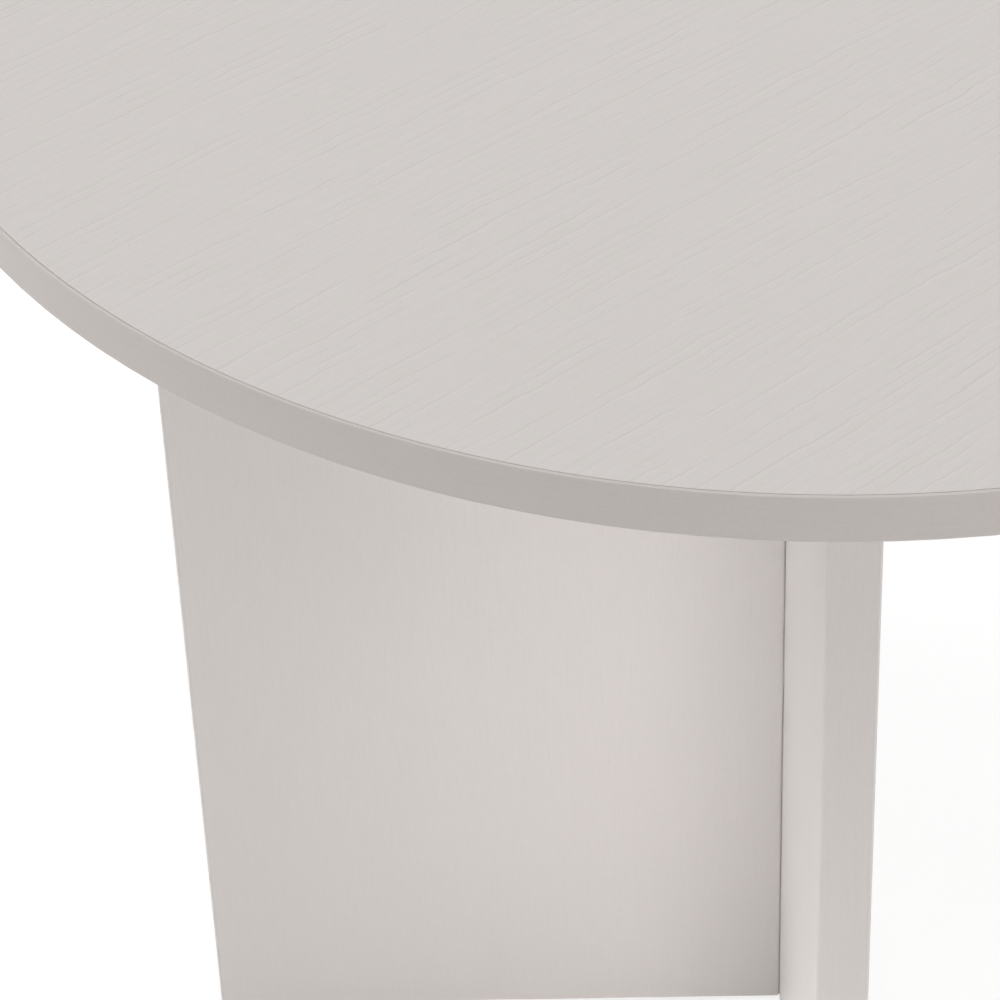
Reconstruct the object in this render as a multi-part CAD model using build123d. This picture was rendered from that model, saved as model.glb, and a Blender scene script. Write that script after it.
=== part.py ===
from build123d import *
from dataclasses import dataclass
from math import cos, pi, sin, sqrt
import os

# Round fold-over gateleg table, in millimetres.
# The origin is on the floor under the middle of the open top. The spine runs along Y, the fixed
# wing points to -X, and the open gate points to +X and carries the leaf.

# Top
table_height = 740.0
top_diameter = 900.0
top_thickness = 24.0
rim_band = 1.0
rim_facets = 4
glue_line = 0.4
fold_line = 125.0
fold_gap = 0.8
joint_strip = 1.0

# Base boards
board = 25.0
base_reach = 342.0
end_band = 2.0
end_rounding_share = 0.75
seam_width = 0.9
seam_depth = 1.2
glide_height = 3.0
glide_radius = 10.0
glide_inset = 22.0
nail_radius = 2.0
nail_length = 12.0

# Gate frame
gate_end_gap = 1.5
gate_top_gap = 4.0
gate_floor_gap = 30.0
stile_width = 25.0
leg_width = 60.0
top_rail_height = 80.0
lower_rail_height = 50.0
lower_rail_share = 0.6
pad_length = 40.0
pad_width = 18.0
pad_gap = 0.3
stop_length = 50.0
stop_height = 24.0
stop_width = 20.0
stop_gap = 0.3
stop_place = 80.0
stop_screw_bite = 8.0

# Fits
loose_fit = 0.05
running_gap = 0.4
knuckle_end_gap = 0.2

# Shares of a piece's own size
pin_head_height_share = 0.3
pin_head_radius_share = 0.8
pan_crown_share = 0.6
glide_foot_share = 0.8
bracket_screw_share = 0.62
rail_dowel_shares = (0.25, 0.75)
catch_rounding_share = 0.6
stop_bevel_share = 0.1

# Dowels and connectors of the boards
dowel_radius = 4.0
dowel_length = 34.0
dowel_in_thin = 13.0
joint_low_gap = 90.0
joint_high_gap = 66.0
wing_dowel_shares = (0.15, 0.43, 0.86)
connector_shares = (0.0, 0.59, 1.0)
connector_radius = 3.5
connector_length = 64.0
connector_head_radius = 5.0
connector_head = 4.0
cap_radius = 6.5
cap_thickness = 1.5

# Angle brackets under the top
bracket_leg = 30.0
bracket_width = 22.0
bracket_thickness = 2.0
bracket_place = 225.0

# Screws
screw_radius = 1.5
screw_length = 13.0
screw_head_radius = 3.0
screw_head = 1.6
pan_head_radius = 3.6
pan_head = 2.2
recess_length = 3.4
recess_width = 0.8
recess_depth = 0.9

# Magnet catch that holds the folded gate
catch_inset = 37.0
catch_share = 0.78
catch_length = 46.0
catch_width = 14.0
catch_gap = 0.3
strike_thickness = 1.2
strike_length = 34.0


@dataclass
class Hinge:
    """A butt hinge: two plates, three knuckles and a pin."""
    length: float
    plate_width: float
    plate_thickness: float
    knuckle_radius: float
    pin_radius: float
    face_gap: float

    @property
    def seat(self):
        """How far the seats of the plates lie behind the pin."""
        return self.face_gap / 2 + self.plate_thickness

    @property
    def slot(self):
        """Room that the knuckles turn in."""
        return self.knuckle_radius + running_gap

    @property
    def pin_head(self):
        return self.knuckle_radius * pin_head_height_share


# The gate's hinge plates stand apart by the width that its knuckles need between the boards
hinge_plate = 2.0
hinge_knuckle = 3.0
hinge_pin_radius = 1.4
gate_hinge_gap = 2 * (hinge_knuckle - hinge_plate)
leaf_hinge_gap = 0.5
gate_hinge = Hinge(length=60.0, plate_width=20.0, plate_thickness=hinge_plate, knuckle_radius=hinge_knuckle,
                   pin_radius=hinge_pin_radius, face_gap=gate_hinge_gap)
leaf_hinge = Hinge(length=70.0, plate_width=27.0, plate_thickness=hinge_plate, knuckle_radius=hinge_knuckle,
                   pin_radius=hinge_pin_radius, face_gap=leaf_hinge_gap)
hinge_foot_gap = 100.0
hinge_rail_gap = 2.0
leaf_hinge_share = 0.65

# Worked out from the sizes above
underside = table_height - top_thickness
top_radius = top_diameter / 2
core_radius = top_radius - rim_band
half_board = board / 2
main_edge = fold_line - fold_gap / 2
leaf_edge = fold_line + fold_gap / 2
main_core_edge = main_edge - joint_strip
leaf_core_edge = leaf_edge + joint_strip
gate_axis = half_board + gate_hinge.seat
leaf_axis_height = table_height + leaf_hinge.face_gap / 2
gate_start = half_board + gate_end_gap
gate_top = underside - gate_top_gap
lower_rail_base = underside * lower_rail_share
leg_start = base_reach - leg_width
stile_end = gate_start + stile_width
fold_room = 2 * gate_axis - 2 * half_board
far = 2 * top_diameter
catch_place = base_reach - catch_inset
catch_height = underside * catch_share
lowest_hinge = gate_floor_gap + hinge_foot_gap + gate_hinge.length / 2
highest_hinge = gate_top - top_rail_height - hinge_rail_gap - gate_hinge.length / 2
gate_hinge_heights = (lowest_hinge, highest_hinge)
half_fold = sqrt(core_radius ** 2 - fold_line ** 2)
leaf_hinge_places = (-leaf_hinge_share * half_fold, 0.0, leaf_hinge_share * half_fold)
joint_span = underside - joint_low_gap - joint_high_gap
wing_dowel_heights = [joint_low_gap + share * joint_span for share in wing_dowel_shares]
connector_heights = [joint_low_gap + share * joint_span for share in connector_shares]


def block(x0, x1, y0, y1, z0, z1):
    """A box between two corners."""
    size = Box(x1 - x0, y1 - y0, z1 - z0)
    return Pos((x0 + x1) / 2, (y0 + y1) / 2, (z0 + z1) / 2) * size


def rod(radius, start, end):
    """A round rod from one point to another."""
    reach = Vector(*end) - Vector(*start)
    middle = (Vector(*end) + Vector(*start)) / 2
    return Plane(middle, z_dir=reach).location * Cylinder(radius, reach.length)


def turned(points):
    """A solid turned about Z from points (radius, height)."""
    outline = make_face(Plane.XZ * Polyline(*points, close=True))
    return revolve(outline, Axis.Z)


def copies(shape, spots):
    return [spot * shape for spot in spots]


def group(solids):
    return Compound(list(solids))


def save(name, shape):
    export_step(shape, os.path.join("parts", name + ".step"))


# Screws: the flat head's top or the pan head's seat is at the origin, and the shank points to -Z
def recess(height):
    """The cross that a screwdriver goes in."""
    slot = Box(recess_length, recess_width, 2 * recess_depth)
    return Pos(0, 0, height) * (slot + Rot(Z=90) * slot)


def flat_outline(extra=0.0):
    return turned([
        (0, extra),
        (screw_head_radius + extra, extra),
        (screw_radius + extra, -screw_head - extra),
        (screw_radius + extra, -screw_length - extra),
        (0, -screw_length - extra),
    ])


def flat_screw():
    return flat_outline() - recess(0)


def sink():
    """The hole that a flat screw sits in."""
    return flat_outline(loose_fit)


def pan_screw():
    solid = turned([
        (0, pan_head),
        (pan_head_radius * pan_crown_share, pan_head),
        (pan_head_radius, pan_head / 2),
        (pan_head_radius, 0),
        (screw_radius, 0),
        (screw_radius, -screw_length),
        (0, -screw_length),
    ])
    return solid - recess(pan_head)


def pilot():
    """The hole that a screw's shank sits in."""
    reach = screw_length + 2 * loose_fit
    return Pos(0, 0, -reach / 2 + loose_fit) * Cylinder(screw_radius + loose_fit, reach)


# Hinge halves: the pin runs along Z, the plate along +X, and its seat faces -Y
def hinge_screw_spots(hinge):
    face = -hinge.face_gap / 2
    margin = screw_head_radius + hinge.plate_thickness
    near = hinge.slot + margin
    away = hinge.plate_width - margin
    row = hinge.length / 2 - 2 * margin
    rows = (-row, 0.0, row)
    spots = zip((away, near, away), rows)
    return [Pos(x, face, z) * Rot(X=-90) for x, z in spots]


def hinge_half(hinge, middle):
    third = hinge.length / 3
    half = hinge.length / 2
    low = -hinge.seat
    high = -hinge.face_gap / 2
    plate = block(hinge.slot, hinge.plate_width, low, high, -half, half)
    outer_edges = plate.edges().filter_by(Axis.Y).group_by(Axis.X)[-1]
    plate = fillet(outer_edges, hinge.plate_thickness)
    if middle:
        spans = [(-third / 2 + knuckle_end_gap, third / 2 - knuckle_end_gap)]
    else:
        spans = [(-half, -third / 2), (third / 2, half)]
    for z0, z1 in spans:
        knuckle = rod(hinge.knuckle_radius, (0, 0, z0), (0, 0, z1))
        web = block(0, hinge.slot + hinge.plate_thickness, low, high, z0, z1)
        plate = plate + knuckle + web
    bore = Cylinder(hinge.pin_radius + loose_fit, 2 * hinge.length)
    sinks = copies(sink(), hinge_screw_spots(hinge))
    return plate - bore - sinks


def hinge_pin(hinge):
    """A pin with a low head on each end."""
    end = hinge.length / 2
    head = Cylinder(hinge.knuckle_radius * pin_head_radius_share, hinge.pin_head)
    pin = Cylinder(hinge.pin_radius, hinge.length)
    lift = end + hinge.pin_head / 2
    return pin + Pos(0, 0, lift) * head + Pos(0, 0, -lift) * head


def hinge_room(hinge):
    """The pocket for a plate and the slot for the knuckles, cut into a board."""
    length = hinge.length + 2 * loose_fit
    slot_length = hinge.length + 2 * (hinge.pin_head + running_gap)
    width = hinge.plate_width + loose_fit
    pocket = Pos(width / 2, 0, 0) * Box(width, 2 * hinge.seat, length)
    return pocket + Cylinder(hinge.slot, slot_length)


# Where each hinge half sits
def gate_fixed_spots():
    return [Plane((gate_axis, gate_axis, z), x_dir=(0, 1, 0), z_dir=(0, 0, -1)).location
            for z in gate_hinge_heights]


def gate_moving_spots():
    return [Plane((gate_axis, gate_axis, z), x_dir=(1, 0, 0), z_dir=(0, 0, 1)).location
            for z in gate_hinge_heights]


def leaf_fixed_spots():
    return [Plane((fold_line, y, leaf_axis_height), x_dir=(-1, 0, 0), z_dir=(0, 1, 0)).location
            for y in leaf_hinge_places]


def leaf_moving_spots():
    return [Plane((fold_line, y, leaf_axis_height), x_dir=(1, 0, 0), z_dir=(0, -1, 0)).location
            for y in leaf_hinge_places]


def hinge_screws(hinge, spots):
    return copies(flat_screw(), [spot * inner for spot in spots for inner in hinge_screw_spots(hinge)])


def hinge_pilots(hinge, spots):
    return copies(pilot(), [spot * inner for spot in spots for inner in hinge_screw_spots(hinge)])


# Top and leaf: one disc with a rounded rim, cut along the fold line
def rim_outline():
    """The outer edge in section: the band is rounded over its whole thickness, in fine facets."""
    points = []
    for height, start in ((underside + rim_band, -pi / 2), (table_height - rim_band, 0)):
        for step in range(rim_facets + 1):
            angle = start + step / rim_facets * pi / 2
            points.append((core_radius + rim_band * cos(angle), height + rim_band * sin(angle)))
    return points


def core_disc():
    """The laminated board inside the rim band, with a fine groove at the glue line."""
    return turned([
        (0, underside),
        (core_radius, underside),
        (core_radius, table_height - glue_line),
        (core_radius - glue_line, table_height),
        (0, table_height),
    ])


def strip_of(shape, x0, x1):
    return shape & block(x0, x1, -far, far, 0, far)


def build_top():
    disc = turned([(0, underside)] + rim_outline() + [(0, table_height)])
    ring = turned(rim_outline())
    core = core_disc()
    fixed = leaf_fixed_spots()
    moving = leaf_moving_spots()
    rooms = copies(hinge_room(leaf_hinge), fixed + moving)
    main_cuts = rooms + hinge_pilots(leaf_hinge, fixed) + bracket_pilots(up=True) + stop_pilots()
    leaf_cuts = rooms + hinge_pilots(leaf_hinge, moving)
    save("main_top", strip_of(core, -far, main_core_edge) - main_cuts)
    save("main_top_rim_band", strip_of(ring, -far, main_core_edge))
    save("main_top_joint_strip", strip_of(disc, main_core_edge, main_edge) - rooms)
    save("leaf_top", strip_of(core, leaf_core_edge, far) - leaf_cuts)
    save("leaf_rim_band", strip_of(ring, leaf_core_edge, far))
    save("leaf_joint_strip", strip_of(disc, leaf_edge, leaf_core_edge) - rooms)
    save("leaf_hinge_fixed_plates", group(copies(hinge_half(leaf_hinge, False), fixed)))
    save("leaf_hinge_moving_plates", group(copies(hinge_half(leaf_hinge, True), moving)))
    save("leaf_hinge_pins", group(copies(hinge_pin(leaf_hinge), fixed)))
    save("leaf_hinge_fixed_screws", group(hinge_screws(leaf_hinge, fixed)))
    save("leaf_hinge_moving_screws", group(hinge_screws(leaf_hinge, moving)))


# Spine and wing
def wing_dowels(extra=0.0):
    start = dowel_in_thin - half_board
    ends = (start + extra, start - dowel_length - extra)
    return [rod(dowel_radius + extra, (ends[0], 0, z), (ends[1], 0, z)) for z in wing_dowel_heights]


def connectors(extra=0.0):
    """Connector screws driven from the spine's right face into the end of the wing."""
    head_top = half_board - cap_thickness
    screws = []
    for z in connector_heights:
        shank = rod(connector_radius + extra, (head_top, 0, z), (head_top - connector_length - extra, 0, z))
        head = rod(connector_head_radius + extra, (head_top, 0, z), (head_top - connector_head - extra, 0, z))
        screws.append(shank + head)
    return screws


def connector_caps(extra=0.0):
    inner = half_board - cap_thickness
    return [rod(cap_radius + extra, (inner, 0, z), (half_board, 0, z)) for z in connector_heights]


def glide(extra=0.0):
    """A nail-on glide that stands on the floor."""
    foot = turned([
        (0, 0),
        (glide_radius * glide_foot_share, 0),
        (glide_radius, glide_height / 2),
        (glide_radius, glide_height),
        (0, glide_height),
    ])
    nail = rod(nail_radius + extra, (0, 0, glide_height / 2), (0, 0, glide_height + nail_length + extra))
    return foot + nail


base_glide_spots = [
    Pos(0, glide_inset - base_reach, 0),
    Pos(0, base_reach - glide_inset, 0),
    Pos(glide_inset - base_reach, 0, 0),
]


def edge_band(top):
    """The eased band on a board that ends at base_reach along X."""
    band = block(base_reach - end_band, base_reach, -half_board, half_board, glide_height, top)
    outer_edges = band.edges().filter_by(Axis.Z).group_by(Axis.X)[-1]
    return fillet(outer_edges, end_band * end_rounding_share)


def build_base():
    inner = base_reach - end_band
    glide_holes = copies(glide(loose_fit), base_glide_spots)
    joint_cuts = wing_dowels(loose_fit) + connectors(loose_fit)
    spine = block(-half_board, half_board, -inner, inner, glide_height, underside)
    spine_cuts = joint_cuts + connector_caps(loose_fit) + glide_holes + catch_pilots()
    spine_cuts = spine_cuts + hinge_pilots(gate_hinge, gate_fixed_spots()) + bracket_pilots(up=False)
    wing = block(-inner, -half_board, -half_board, half_board, glide_height, underside)
    for side in (-1, 1):
        edge = side * half_board
        depth = edge - side * seam_depth
        low, high = min(edge, depth), max(edge, depth)
        wing = wing - block(-half_board - seam_width, -half_board, low, high, 0, far)
    wing_cuts = joint_cuts + glide_holes + bracket_pilots(up=False)
    save("spine_panel", spine - spine_cuts)
    save("wing_panel", wing - wing_cuts)
    band = edge_band(underside)
    save("spine_end_bands", group(copies(band, (Rot(Z=-90), Rot(Z=90)))))
    save("wing_end_band", Rot(Z=180) * band)
    save("wing_dowels", group(wing_dowels()))
    save("wing_connector_screws", group(connectors()))
    save("connector_cover_caps", group(connector_caps()))
    save("base_glides", group(copies(glide(), base_glide_spots)))


# Angle brackets between the base and the top
bracket_spots = [
    Pos(-half_board, -bracket_place, underside) * Rot(Z=180),
    Pos(-half_board, bracket_place, underside) * Rot(Z=180),
    Pos(half_board, -bracket_place, underside),
    Pos(-bracket_place, half_board, underside) * Rot(Z=90),
    Pos(-bracket_place, -half_board, underside) * Rot(Z=-90),
]
bracket_screw_offset = bracket_leg * bracket_screw_share


def bracket_up_spots():
    across = bracket_width / 4
    return [spot * Pos(bracket_screw_offset, y, -bracket_thickness) * Rot(X=180)
            for spot in bracket_spots for y in (-across, across)]


def bracket_side_spots():
    across = bracket_width / 4
    return [spot * Pos(bracket_thickness, y, -bracket_screw_offset) * Rot(Y=90)
            for spot in bracket_spots for y in (-across, across)]


def bracket_pilots(up):
    spots = bracket_up_spots() if up else bracket_side_spots()
    return copies(pilot(), spots)


def bracket():
    half = bracket_width / 2
    upright = block(0, bracket_thickness, -half, half, -bracket_leg, 0)
    shelf = block(0, bracket_leg, -half, half, -bracket_thickness, 0)
    angle = upright + shelf
    inside = angle.edges().filter_by(Axis.Y).sort_by_distance((bracket_thickness, 0, -bracket_thickness))[0]
    return fillet(inside, bracket_thickness)


def build_brackets():
    spots = bracket_up_spots() + bracket_side_spots()
    holes = copies(pilot(), spots)
    save("top_brackets", group(spot * bracket() - holes for spot in bracket_spots))
    save("top_bracket_screws", group(copies(pan_screw(), spots)))


# Gate stop under the top, on the near side of the open gate
stop_face = -half_board - stop_gap


def stop_spots():
    head_top = underside + stop_screw_bite - screw_length
    middle = stop_face - stop_width / 2
    places = (stop_place - stop_length / 4, stop_place + stop_length / 4)
    return [Pos(x, middle, head_top) * Rot(X=180) for x in places]


def stop_pilots():
    return copies(pilot(), stop_spots())


def build_stop():
    x0 = stop_place - stop_length / 2
    x1 = stop_place + stop_length / 2
    body = block(x0, x1, stop_face - stop_width, stop_face, underside - stop_height, underside)
    body = chamfer(body.edges().group_by(Axis.Z)[0], stop_width * stop_bevel_share)
    wells = []
    for spot in stop_spots():
        wells.append(spot * sink())
        wells.append(spot * Pos(0, 0, stop_height / 2) * Cylinder(screw_head_radius + loose_fit, stop_height))
    save("gate_stop_block", body - wells)
    save("gate_stop_screws", group(copies(flat_screw(), stop_spots())))


# Gate frame: hinge stile, two rails and the leg, joined by dowels
def rail_dowels(extra=0.0):
    upper = [gate_top - top_rail_height * share for share in rail_dowel_shares]
    lower = [lower_rail_base + lower_rail_height * share for share in rail_dowel_shares]
    dowels = []
    for z in upper + lower:
        left = stile_end - dowel_in_thin
        right = leg_start + dowel_in_thin
        dowels.append(rod(dowel_radius + extra, (left - extra, 0, z), (left + dowel_length + extra, 0, z)))
        dowels.append(rod(dowel_radius + extra, (right + extra, 0, z), (right - dowel_length - extra, 0, z)))
    return dowels


gate_glide_spot = Pos((leg_start + base_reach) / 2, 0, 0)


def build_gate():
    inner = base_reach - end_band
    fixed = gate_fixed_spots()
    moving = gate_moving_spots()
    holes = rail_dowels(loose_fit)
    stile = block(gate_start, stile_end, -half_board, half_board, gate_floor_gap, gate_top)
    stile = stile - (holes + hinge_pilots(gate_hinge, moving))
    upper = block(stile_end, leg_start, -half_board, half_board, gate_top - top_rail_height, gate_top)
    lower_top = lower_rail_base + lower_rail_height
    lower = block(stile_end, leg_start, -half_board, half_board, lower_rail_base, lower_top)
    leg = block(leg_start, inner, -half_board, half_board, glide_height, gate_top)
    leg = leg - (holes + [gate_glide_spot * glide(loose_fit)] + strike_sinks())
    pad_middle = (leg_start + base_reach) / 2
    pad = block(pad_middle - pad_length / 2, pad_middle + pad_length / 2, -pad_width / 2, pad_width / 2,
                gate_top, underside - pad_gap)
    pad = fillet(pad.edges().filter_by(Axis.Z), pad_width / 4)
    save("gate_hinge_stile", stile)
    save("gate_top_rail", upper - holes)
    save("gate_lower_rail", lower - holes)
    save("gate_leg", leg)
    save("gate_leg_band", edge_band(gate_top))
    save("gate_dowels", group(rail_dowels()))
    save("gate_bearing_pad", pad)
    save("gate_glide", gate_glide_spot * glide())
    save("gate_hinge_fixed_plates", group(copies(hinge_half(gate_hinge, False), fixed)))
    save("gate_hinge_moving_plates", group(copies(hinge_half(gate_hinge, True), moving)))
    save("gate_hinge_pins", group(copies(hinge_pin(gate_hinge), fixed)))
    save("gate_hinge_fixed_screws", group(hinge_screws(gate_hinge, fixed)))
    save("gate_hinge_moving_screws", group(hinge_screws(gate_hinge, moving)))


# Magnet catch on the spine, and its strike on the gate's leg
magnet_thickness = fold_room - strike_thickness - catch_gap


def catch_spots():
    shift = catch_length / 2 - catch_width / 2
    return [Pos(half_board + magnet_thickness, catch_place, catch_height + side * shift) * Rot(Y=90)
            for side in (-1, 1)]


def catch_pilots():
    return copies(pilot(), catch_spots())


def strike_spots():
    shift = strike_length / 2 - catch_width / 2
    return [Pos(catch_place, half_board + strike_thickness, catch_height + side * shift) * Rot(X=-90)
            for side in (-1, 1)]


def strike_sinks():
    return copies(sink(), strike_spots())


def build_catch():
    half = catch_width / 2
    magnet = block(half_board, half_board + magnet_thickness, catch_place - half, catch_place + half,
                   catch_height - catch_length / 2, catch_height + catch_length / 2)
    magnet = fillet(magnet.edges().filter_by(Axis.X), half * catch_rounding_share)
    magnet = magnet - copies(sink(), catch_spots())
    strike = block(catch_place - half, catch_place + half, half_board, half_board + strike_thickness,
                   catch_height - strike_length / 2, catch_height + strike_length / 2)
    strike = fillet(strike.edges().filter_by(Axis.Y), half * catch_rounding_share)
    strike = strike - strike_sinks()
    save("gate_catch_magnet", magnet)
    save("gate_catch_strike", strike)
    save("gate_catch_screws", group(copies(flat_screw(), catch_spots())))
    save("gate_strike_screws", group(copies(flat_screw(), strike_spots())))


os.makedirs("parts", exist_ok=True)
build_top()
build_base()
build_brackets()
build_stop()
build_gate()
build_catch()
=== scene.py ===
from math import cos, pi, radians, sin

import bpy
from mathutils import Matrix, Vector


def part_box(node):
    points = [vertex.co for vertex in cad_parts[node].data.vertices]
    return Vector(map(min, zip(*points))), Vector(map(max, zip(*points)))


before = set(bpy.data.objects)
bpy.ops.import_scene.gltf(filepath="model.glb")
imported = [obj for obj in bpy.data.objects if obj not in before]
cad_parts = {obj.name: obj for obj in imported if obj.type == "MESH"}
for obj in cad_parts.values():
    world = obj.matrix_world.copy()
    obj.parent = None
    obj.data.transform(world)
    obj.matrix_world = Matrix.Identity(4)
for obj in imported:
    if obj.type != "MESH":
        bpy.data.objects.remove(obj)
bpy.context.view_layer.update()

# Camera: place in metres, lens and sensor in millimetres, turns in degrees
camera_place = (-0.105907, -1.757900, 1.811695)
camera_lens = 152.18
camera_sensor = 36.0
camera_yaw = -1.9507
camera_pitch = 39.2611
camera_roll = 2.3326

# World and floor: light of the dome, greys and glow of the floor, and the distances at which it turns white
dome_strength = 0.2
floor_size = 12.0
floor_bounce = 0.92
floor_shadow = 0.3
floor_glow = 0.785
floor_fade = (0.5, 1.6)

# Each lamp: name, place, target, width, height, power, spread in degrees
lamps = [
    ("top", (-0.3, -0.5, 3.4), (0.0, 0.0, 0.7), 3.6, 3.6, 64.0, 180),
    ("front", (0.31, -3.2, 0.5), (0.0, 0.0, 0.3), 0.7, 0.88, 21.0, 180),
    ("left", (-2.9, 1.0, 1.4), (0.0, 0.0, 0.5), 2.8, 2.4, 37.0, 180),
    ("right", (3.2, -0.6, 1.2), (0.0, 0.0, 0.5), 2.8, 2.2, 54.0, 180),
    ("back", (1.6, 2.8, 1.8), (0.0, 0.0, 0.5), 2.6, 2.6, 33.0, 180),
    ("low", (-1.7, -0.7, 0.32), (-0.05, -0.15, 0.3), 0.6, 0.6, 0.82, 50),
    ("corner", (-0.75, -1.65, 0.35), (-0.07, -0.03, 0.2), 0.2, 0.2, 0.078, 18),
    ("foot", (-0.25, -1.9, 0.12), (-0.17, 0.0, 0.0), 1.0, 0.12, 0.04, 14),
    ("eave", (-0.75, -1.65, 0.5), (-0.09, -0.03, 0.42), 0.2, 0.2, 0.024, 13),
]

# Directions of the grain and of the brushing
along_x = 0
along_y = 1
along_z = 2

# Laminate: sizes in metres, pairs are along and across the grain
grain_turn = radians(41.0)
line_spacing = 0.0055
line_edge = 0.82
light_line_shift = 0.22
bend_size = (0.35, 0.06)
bend_lines = 4.5
wobble_size = (0.016, 0.03)
wobble_lines = 0.7
fade_size = (0.07, 0.005)
fade_range = (0.38, 0.66)
fibre_size = (0.02, 0.0007)
fibre_range = (0.35, 0.75)
cloud_size = (0.30, 0.07)
pore_size = 0.0013
pore_range = (0.45, 0.75)
pore_strength = 0.5
laminate_bump = 0.00002
laminate_roughness = (0.36, 0.48)
fibre_roughness = 0.08
laminate_specular = 0.4
panel_lines = 0.15
band_lines = 0.2

# Rim, its painted highlight, joints and sawn feet, in metres
rim_radius = 0.45
core_radius = 0.449
glue_width = 0.0007
joint_width = 0.0008
# Painted highlight on the rim: how far up the surface must face for it to begin and to be full
rim_highlight_range = (0.1, 0.5)
foot_height = 0.04
foot_facing = -0.9
chip_size = (0.003, 0.0012, 0.002)

# Levels added to the laminate's colour
cloud_dark = (-2, -2, -2)
cloud_light = (2, 2, 2)
fibre_tone = (-3, -3, -4)
pore_tone = (-6, -6, -6)
light_line_tone = (2, 2, 2)
dark_line_tone = (-9, -9, -10)
# Painted highlight on the rim's upward-facing rounded edge
rim_highlight_tone = (13, 14, 14)
glue_tone = (-38, -41, -42)
joint_tone = (-46, -48, -49)

# Colours, 0 to 255
board_colour = (209, 204, 201)
# The rim and joint bands: the same band as the uprights' ends, painted darker as shade
shaded_band_colour = (189, 182, 178)
upright_band_colour = (205, 199, 196)
chip_dark = (150, 118, 84)
chip_light = (206, 178, 140)
nickel_colour = (186, 181, 173)
zinc_colour = (180, 183, 187)
screw_colour = (176, 171, 162)
cap_colour = (203, 198, 194)
glide_colour = (118, 115, 112)
catch_colour = (96, 90, 85)
beech_light = (222, 188, 150)
beech_dark = (206, 166, 126)
beech_fibre = (190, 148, 108)
beech_fleck = (158, 112, 76)
beech_edge_wear_and_highlight = (232, 204, 170)
felt_dark = (84, 82, 80)
felt_light = (132, 129, 126)

# Metal: sizes in metres, and levels added to its colour
brush_length = 0.02
sheet_brush = 0.00025
screw_brush = 0.0006
patch_size = 0.012
peel_size = 0.0008
flake_size = 0.004
metal_edge = 0.0006
metal_bump = 0.000012
dull_tone = (-12, -12, -11)
brush_tone = (-22, -22, -21)
flake_tone = (14, 14, 16)
edge_wear_and_highlight_tone = (26, 26, 26)
nickel_roughness = 0.32
zinc_roughness = 0.42
screw_roughness = 0.36
zinc_spangle = 0.5

# Plastic: sizes in metres, and levels added to its colour
skin_size = 0.0006
plastic_cloud = 0.02
plastic_edge = 0.0008
plastic_bump = 0.00004
plastic_dark = (-4, -4, -4)
plastic_light = (4, 4, 4)
plastic_edge_wear_and_highlight = (22, 22, 22)
cap_roughness = 0.42
glide_roughness = 0.5
catch_roughness = 0.45

# Beech and felt, in metres
beech_fibre_size = (0.03, 0.0008)
beech_ring_size = (0.12, 0.006)
beech_fleck_size = (0.004, 0.0006)
beech_edge_width = 0.001
beech_bump = 0.00008
beech_roughness = (0.5, 0.68)
felt_first = (0.004, 0.0004, 0.0006)
felt_second = (0.0004, 0.004, 0.0006)
felt_swirl = 1.2
felt_bump = 0.0004
felt_roughness = (0.85, 1.0)
felt_sheen = 0.3


def srgb(red, green, blue):
    """A colour of a picture, 0 to 255, as the shader's linear colour."""
    linear = []
    for level in (red, green, blue):
        share = level / 255
        linear.append(share / 12.92 if share <= 0.04045 else ((share + 0.055) / 1.055) ** 2.4)
    return (*linear, 1.0)


def toned(base, change):
    """A colour with levels added to it, as the shader's linear colour."""
    return srgb(*(level + step for level, step in zip(base, change)))


def grain_sizes(axis, length, width):
    """Sizes along X, Y and Z of a pattern that is long along one axis."""
    sizes = [width, width, width]
    sizes[axis] = length
    return sizes


class Tree:
    """Adds nodes to one shader tree."""

    def __init__(self, tree):
        self.nodes = tree.nodes
        self.links = tree.links

    def wire(self, socket, value):
        """Links a socket to another one, or sets its value."""
        if isinstance(value, bpy.types.NodeSocket):
            self.links.new(value, socket)
        else:
            socket.default_value = value

    def add(self, kind, inputs=None, **settings):
        """A new node with its settings made and its inputs wired."""
        node = self.nodes.new("ShaderNode" + kind)
        for name, value in settings.items():
            setattr(node, name, value)
        for key, value in (inputs or {}).items():
            self.wire(node.inputs[key], value)
        return node

    def math(self, operation, first, second=0.0):
        return self.add("Math", {0: first, 1: second}, operation=operation).outputs[0]

    def length(self, vector):
        return self.add("VectorMath", {0: vector}, operation="LENGTH").outputs["Value"]

    def dot(self, first, second):
        return self.add("VectorMath", {0: first, 1: second}, operation="DOT_PRODUCT").outputs["Value"]

    def part(self, vector, axis):
        """One of the three parts of a vector."""
        return self.add("SeparateXYZ", {0: vector}).outputs[axis]

    def rise(self, value, low, high):
        """0 up to low, 1 from high on, and smooth between them."""
        inputs = {"Value": value, "From Min": low, "From Max": high}
        return self.add("MapRange", inputs, interpolation_type="SMOOTHSTEP").outputs["Result"]

    def between(self, value, low, high):
        """A value from 0 to 1 spread over a range."""
        return self.add("MapRange", {"Value": value, "To Min": low, "To Max": high}).outputs["Result"]

    def mix(self, factor, first, second):
        return self.add("Mix", {0: factor, 6: first, 7: second}, data_type="RGBA").outputs[2]

    def tint(self, colour, factor, strength, second):
        """A colour mixed with a second one where the factor is high, at most by the strength."""
        return self.mix(self.math("MULTIPLY", factor, strength), colour, second)

    def sight(self):
        """1 for rays of the camera, of gloss and of glass, and 0 for the light between surfaces."""
        rays = self.add("LightPath").outputs
        seen = self.math("MAXIMUM", rays["Is Camera Ray"], rays["Is Glossy Ray"])
        return self.math("MAXIMUM", seen, rays["Is Transmission Ray"])


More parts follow.
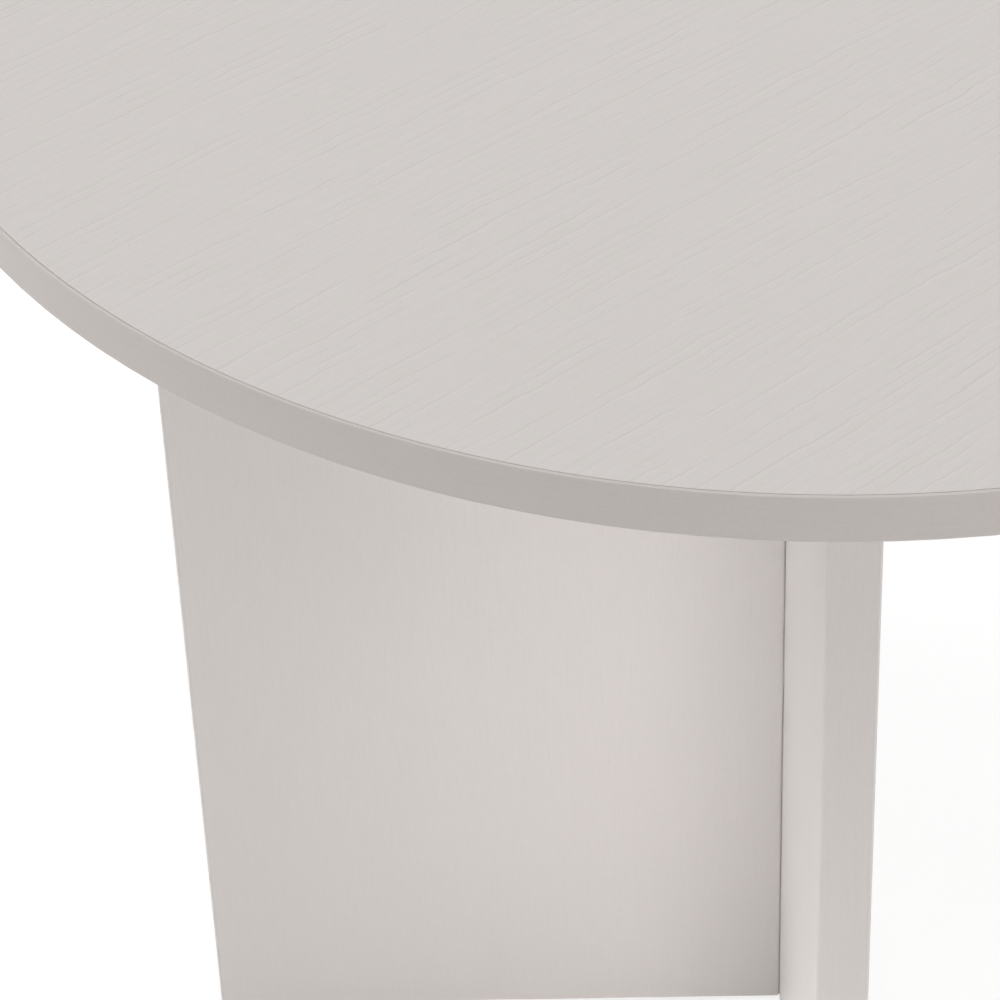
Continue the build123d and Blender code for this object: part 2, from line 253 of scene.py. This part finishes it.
class Look(Tree):
    """Builds the nodes of one material."""

    def __init__(self, name):
        self.material = bpy.data.materials.new(name)
        self.material.use_nodes = True
        super().__init__(self.material.node_tree)
        self.shader = self.nodes["Principled BSDF"]
        self.spot = self.add("TexCoord").outputs["Object"]

    def steps(self, sizes, turn=0.0, shift=0.0, spot=None):
        """Coordinates counted in steps of the given sizes, along axes turned about Z."""
        inputs = {
            "Vector": spot or self.spot,
            "Location": (shift, shift, shift),
            "Rotation": (0, 0, turn),
            "Scale": sizes,
        }
        return self.add("Mapping", inputs, vector_type="TEXTURE").outputs["Vector"]

    def noise(self, place, detail=2.0, distortion=0.0):
        inputs = {"Vector": place, "Scale": 1.0, "Detail": detail, "Distortion": distortion}
        return self.add("TexNoise", inputs).outputs["Fac"]

    def cells(self, place):
        return self.add("TexVoronoi", {"Vector": place, "Scale": 1.0}).outputs["Color"]

    def normal(self):
        return self.add("NewGeometry").outputs["Normal"]

    def edges(self, radius):
        """1 on sharp edges and 0 on flat faces."""
        soft = self.add("Bevel", {"Radius": radius}, samples=4).outputs["Normal"]
        return self.rise(self.math("SUBTRACT", 1.0, self.dot(soft, self.normal())), 0.02, 0.25)

    def around(self):
        """Coordinates along a round rim: way round, nothing, height."""
        parts = self.add("SeparateXYZ", {0: self.spot}).outputs
        way = self.math("MULTIPLY", self.math("ARCTAN2", parts["Y"], parts["X"]), rim_radius)
        return self.add("CombineXYZ", {"X": way, "Z": parts["Z"]}).outputs["Vector"]

    def finish(self, colour, roughness, height, depth, **constants):
        """Connects colour, roughness and a bump of the given depth, and sets the shader's fixed values."""
        bump = self.add("Bump", {"Height": height, "Strength": 1.0, "Distance": depth}).outputs["Normal"]
        self.wire(self.shader.inputs["Base Color"], colour)
        self.wire(self.shader.inputs["Roughness"], roughness)
        self.wire(self.shader.inputs["Normal"], bump)
        for name, value in constants.items():
            self.shader.inputs[name.replace("_", " ")].default_value = value
        return self.material


def laminate(name, base, axis, turn=0.0, lines=1.0,
             round_rim=False, glue_ring=False, joint_ends=None, raw_foot=False):
    """Light wood-grain board: thin lines that fade in and out, fine fibres, pores and slow clouds."""
    look = Look(name)
    spot = look.around() if round_rim else look.spot

    def layer(size, shift, **options):
        """Noise stretched along the grain."""
        return look.noise(look.steps(grain_sizes(axis, *size), turn, shift, spot), **options)

    def line_at(share):
        """Lines one spacing apart, that share of a spacing on from the first ones."""
        angle = look.math("MULTIPLY", look.math("ADD", phase, share), 2 * pi)
        return look.math("MULTIPLY", look.rise(look.math("COSINE", angle), line_edge, 1.0), shown)

    # Each dark line has a light one beside it; they bend slowly together and fade in and out
    plain = look.dot(look.steps([line_spacing] * 3, turn, 0.0, spot), grain_sizes(axis, 0.0, 1.0))
    bend = look.math("MULTIPLY", layer(bend_size, 2.0), bend_lines)
    wobble = look.math("MULTIPLY", layer(wobble_size, 9.0, detail=4.0), wobble_lines)
    phase = look.math("ADD", plain, look.math("ADD", bend, wobble))
    shown = look.rise(layer(fade_size, 3.0), *fade_range)
    dark = look.math("MULTIPLY", line_at(0.0), lines)
    light = line_at(light_line_shift)
    fibre = layer(fibre_size, 1.0, detail=3.0)
    cloud = layer(cloud_size, 5.0)
    pores = look.rise(look.noise(look.steps([pore_size] * 3, 0.0, 7.0, spot)), *pore_range)

    # Boards with weak lines have weaker fibres too
    colour = look.mix(cloud, toned(base, cloud_dark), toned(base, cloud_light))
    colour = look.tint(colour, look.rise(fibre, *fibre_range), 0.5 + 0.5 * lines, toned(base, fibre_tone))
    colour = look.tint(colour, pores, pore_strength, toned(base, pore_tone))
    colour = look.tint(colour, light, lines, toned(base, light_line_tone))
    colour = look.mix(dark, colour, toned(base, dark_line_tone))
    height = look.math("SUBTRACT", look.math("MULTIPLY", fibre, 0.4), dark)
    if round_rim:
        # Painted highlight: the rounded edge is painted lighter where it faces up
        painted_highlight = look.rise(look.part(look.normal(), along_z), *rim_highlight_range)
        colour = look.mix(painted_highlight, colour, toned(base, rim_highlight_tone))
    if glue_ring:
        # The thin dark glue line inside the rim band
        flat = look.add("VectorMath", {0: look.spot, 1: (1, 1, 0)}, operation="MULTIPLY").outputs["Vector"]
        ring = look.rise(look.length(flat), core_radius - glue_width, core_radius - glue_width / 2)
        colour = look.mix(ring, colour, toned(base, glue_tone))
    if joint_ends:
        # A thin dark line where each end butts against its neighbour
        low, high = joint_ends
        half = (high - low) / 2
        reach = look.math("ABSOLUTE", look.math("SUBTRACT", look.part(look.spot, axis), (low + high) / 2))
        joint = look.rise(reach, half - joint_width, half - joint_width / 2)
        colour = look.mix(joint, colour, toned(base, joint_tone))
    if raw_foot:
        # The sawn foot of the board shows its chips
        down = look.math("LESS_THAN", look.part(look.normal(), along_z), foot_facing)
        low = look.math("LESS_THAN", look.part(look.spot, along_z), foot_height)
        foot = look.math("MULTIPLY", down, low)
        chips = look.noise(look.steps(chip_size), detail=4.0)
        raw = look.mix(look.rise(chips, 0.3, 0.7), srgb(*chip_dark), srgb(*chip_light))
        colour = look.mix(foot, colour, raw)
        height = look.math("ADD", height, look.math("MULTIPLY", foot, chips))
    smooth = look.between(cloud, *laminate_roughness)
    roughness = look.math("ADD", smooth, look.math("MULTIPLY", fibre, fibre_roughness))
    return look.finish(colour, roughness, height, laminate_bump, Specular_IOR_Level=laminate_specular)


def metal(name, base, roughness, axis, brush_width=sheet_brush, spangle=0.0):
    """Plated metal: brushed along one axis, with dull patches, edges painted bright as worn plating and
    painted highlight, and a fine orange peel.
    """
    look = Look(name)
    brush = look.noise(look.steps(grain_sizes(axis, brush_length, brush_width)))
    patch = look.noise(look.steps([patch_size] * 3), detail=4.0)
    peel = look.noise(look.steps([peel_size] * 3), detail=1.0)
    colour = look.mix(look.rise(patch, 0.3, 0.75), srgb(*base), toned(base, dull_tone))
    colour = look.tint(colour, look.rise(brush, 0.35, 0.7), 0.5, toned(base, brush_tone))
    if spangle:
        flakes = look.cells(look.steps([flake_size] * 3))
        colour = look.tint(colour, flakes, spangle, toned(base, flake_tone))
    # Edges painted brighter: partly worn plating, partly painted highlight
    colour = look.mix(look.edges(metal_edge), colour, toned(base, edge_wear_and_highlight_tone))
    dulled = look.between(patch, roughness - 0.03, roughness + 0.05)
    rough = look.math("ADD", dulled, look.between(brush, -0.05, 0.05))
    height = look.math("ADD", look.math("MULTIPLY", brush, 0.5), look.math("MULTIPLY", peel, 0.5))
    return look.finish(colour, rough, height, metal_bump, Metallic=1.0)


def plastic(name, base, roughness):
    """Moulded plastic with a fine spark-eroded skin and pale edges, partly rubbed wear and partly painted
    highlight.
    """
    look = Look(name)
    skin = look.noise(look.steps([skin_size] * 3), detail=3.0)
    cloud = look.noise(look.steps([plastic_cloud] * 3), detail=3.0)
    colour = look.mix(look.rise(cloud, 0.3, 0.7), toned(base, plastic_dark), toned(base, plastic_light))
    # Edges painted paler: partly rubbed wear, partly painted highlight
    colour = look.tint(colour, look.edges(plastic_edge), 0.5, toned(base, plastic_edge_wear_and_highlight))
    rough = look.between(cloud, roughness - 0.06, roughness + 0.08)
    return look.finish(colour, rough, skin, plastic_bump)


def beech(name, axis):
    """Beech: pale reddish wood with short dark flecks along the grain."""
    look = Look(name)
    fibre = look.noise(look.steps(grain_sizes(axis, *beech_fibre_size)), detail=3.0)
    ring = look.noise(look.steps(grain_sizes(axis, *beech_ring_size)))
    fleck = look.noise(look.steps(grain_sizes(axis, *beech_fleck_size), shift=4.0))
    fleck = look.rise(fleck, 0.62, 0.72)
    colour = look.mix(look.rise(ring, 0.3, 0.7), srgb(*beech_light), srgb(*beech_dark))
    colour = look.tint(colour, look.rise(fibre, 0.4, 0.8), 0.5, srgb(*beech_fibre))
    colour = look.tint(colour, fleck, 0.7, srgb(*beech_fleck))
    # Edges painted lighter: partly sanded wear, partly painted highlight
    colour = look.tint(colour, look.edges(beech_edge_width), 0.4, srgb(*beech_edge_wear_and_highlight))
    height = look.math("SUBTRACT", fibre, look.math("MULTIPLY", fleck, 0.6))
    return look.finish(colour, look.between(fibre, *beech_roughness), height, beech_bump)


def felt(name):
    """Pressed wool felt: matted fibres in two directions."""
    look = Look(name)
    first = look.noise(look.steps(felt_first, turn=0.5), detail=3.0, distortion=felt_swirl)
    second = look.noise(look.steps(felt_second, turn=-0.3), detail=3.0, distortion=felt_swirl)
    fuzz = look.math("MAXIMUM", first, second)
    colour = look.mix(look.rise(fuzz, 0.45, 0.75), srgb(*felt_dark), srgb(*felt_light))
    return look.finish(colour, look.between(fuzz, *felt_roughness), fuzz, felt_bump, Sheen_Weight=felt_sheen)


def paint(material, *nodes):
    """Puts one material on each slot of the named nodes."""
    for name in nodes:
        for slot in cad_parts[name].material_slots:
            slot.link = "OBJECT"
            slot.material = material


def make_materials():
    paint(laminate("top_laminate", board_colour, along_x, turn=grain_turn, glue_ring=True),
          "main_top", "leaf_top")
    paint(laminate("upright_laminate", board_colour, along_z, lines=panel_lines, raw_foot=True),
          "spine_panel", "wing_panel", "gate_hinge_stile", "gate_leg")
    rail_low, rail_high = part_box("gate_top_rail")
    rail_ends = (rail_low[along_x], rail_high[along_x])
    paint(laminate("rail_laminate", board_colour, along_x, lines=panel_lines, joint_ends=rail_ends),
          "gate_top_rail", "gate_lower_rail")
    # The rim and joint bands take the band colour painted darker as shade
    paint(laminate("rim_band", shaded_band_colour, along_x, lines=band_lines, round_rim=True),
          "main_top_rim_band", "leaf_rim_band")
    paint(laminate("joint_band", shaded_band_colour, along_y, lines=band_lines),
          "main_top_joint_strip", "leaf_joint_strip")
    paint(laminate("upright_band", upright_band_colour, along_z, lines=band_lines),
          "spine_end_bands", "wing_end_band", "gate_leg_band")
    paint(metal("nickel_upright", nickel_colour, nickel_roughness, along_z),
          "gate_hinge_fixed_plates", "gate_hinge_moving_plates", "gate_hinge_pins")
    paint(metal("nickel_inlaid", nickel_colour, nickel_roughness, along_y),
          "leaf_hinge_fixed_plates", "leaf_hinge_moving_plates", "leaf_hinge_pins")
    paint(metal("zinc_sheet", zinc_colour, zinc_roughness, along_x, spangle=zinc_spangle),
          "top_brackets", "gate_catch_strike")
    paint(metal("screw_steel", screw_colour, screw_roughness, along_z, brush_width=screw_brush),
          "gate_hinge_fixed_screws", "gate_hinge_moving_screws",
          "leaf_hinge_fixed_screws", "leaf_hinge_moving_screws",
          "top_bracket_screws", "gate_stop_screws", "gate_catch_screws", "gate_strike_screws",
          "wing_connector_screws")
    paint(beech("beech", along_x), "wing_dowels", "gate_dowels", "gate_stop_block")
    paint(plastic("cap_plastic", cap_colour, cap_roughness), "connector_cover_caps")
    paint(plastic("glide_plastic", glide_colour, glide_roughness), "base_glides", "gate_glide")
    paint(plastic("catch_plastic", catch_colour, catch_roughness), "gate_catch_magnet")
    paint(felt("felt"), "gate_bearing_pad")


def make_floor():
    """A pale floor that keeps the shadow and turns white away from the table, where no shadow falls."""
    bpy.ops.mesh.primitive_plane_add(size=floor_size, location=(0, 0, 0))
    floor = bpy.context.object
    floor.name = "floor"
    material = bpy.data.materials.new("floor")
    material.use_nodes = True
    tree = Tree(material.node_tree)
    tree.nodes.clear()
    bounce = tree.add("BsdfDiffuse", {"Color": (floor_bounce, floor_bounce, floor_bounce, 1)}).outputs[0]
    shadow = tree.add("BsdfDiffuse", {"Color": (floor_shadow, floor_shadow, floor_shadow, 1)}).outputs[0]
    reach = tree.length(tree.add("TexCoord").outputs["Object"])
    level = tree.between(tree.rise(reach, *floor_fade), floor_glow, 1.0)
    glow = tree.add("Emission", {"Strength": level}).outputs[0]
    seen = tree.add("AddShader", {0: shadow, 1: glow}).outputs[0]
    above = tree.add("MixShader", {0: tree.sight(), 1: bounce, 2: seen}).outputs[0]
    # Seen from below the floor is clear, so the underside can be looked at
    from_below = tree.add("NewGeometry").outputs["Backfacing"]
    clear = tree.add("BsdfTransparent").outputs[0]
    surface = tree.add("MixShader", {0: from_below, 1: above, 2: clear}).outputs[0]
    tree.add("OutputMaterial", {"Surface": surface})
    floor.data.materials.append(material)


def make_world():
    """White where it is seen, and a weak dome of light elsewhere."""
    world = bpy.data.worlds.new("studio")
    world.use_nodes = True
    bpy.context.scene.world = world
    tree = Tree(world.node_tree)
    background = tree.nodes["Background"]
    background.inputs["Color"].default_value = (1, 1, 1, 1)
    tree.wire(background.inputs["Strength"], tree.between(tree.sight(), dome_strength, 1.0))


def make_lamps():
    """Soft panels of light that don't show in gloss."""
    for name, place, target, width, height, power, spread in lamps:
        data = bpy.data.lights.new(name, "AREA")
        data.shape = "RECTANGLE"
        data.size = width
        data.size_y = height
        data.energy = power
        data.spread = radians(spread)
        lamp = bpy.data.objects.new(name, data)
        lamp.location = place
        lamp.visible_glossy = False
        aim = Vector(target) - Vector(place)
        lamp.rotation_euler = aim.to_track_quat("-Z", "Y").to_euler()
        bpy.context.collection.objects.link(lamp)


def make_camera():
    yaw = radians(camera_yaw)
    pitch = radians(camera_pitch)
    roll = radians(camera_roll)
    ahead = Vector((sin(yaw), cos(yaw), 0))
    right = Vector((cos(yaw), -sin(yaw), 0))
    up = Vector((0, 0, 1))
    forward = ahead * cos(pitch) - up * sin(pitch)
    down = -ahead * sin(pitch) - up * cos(pitch)
    picture_right = right * cos(roll) + down * sin(roll)
    picture_up = right * sin(roll) - down * cos(roll)
    turn = Matrix((picture_right, picture_up, -forward)).transposed()
    data = bpy.data.cameras.new("camera")
    data.lens = camera_lens
    data.sensor_width = camera_sensor
    camera = bpy.data.objects.new("camera", data)
    camera.matrix_world = Matrix.Translation(camera_place) @ turn.to_4x4()
    bpy.context.collection.objects.link(camera)
    bpy.context.scene.camera = camera


bpy.context.scene.view_settings.view_transform = "Standard"
make_materials()
make_floor()
make_world()
make_lamps()
make_camera()
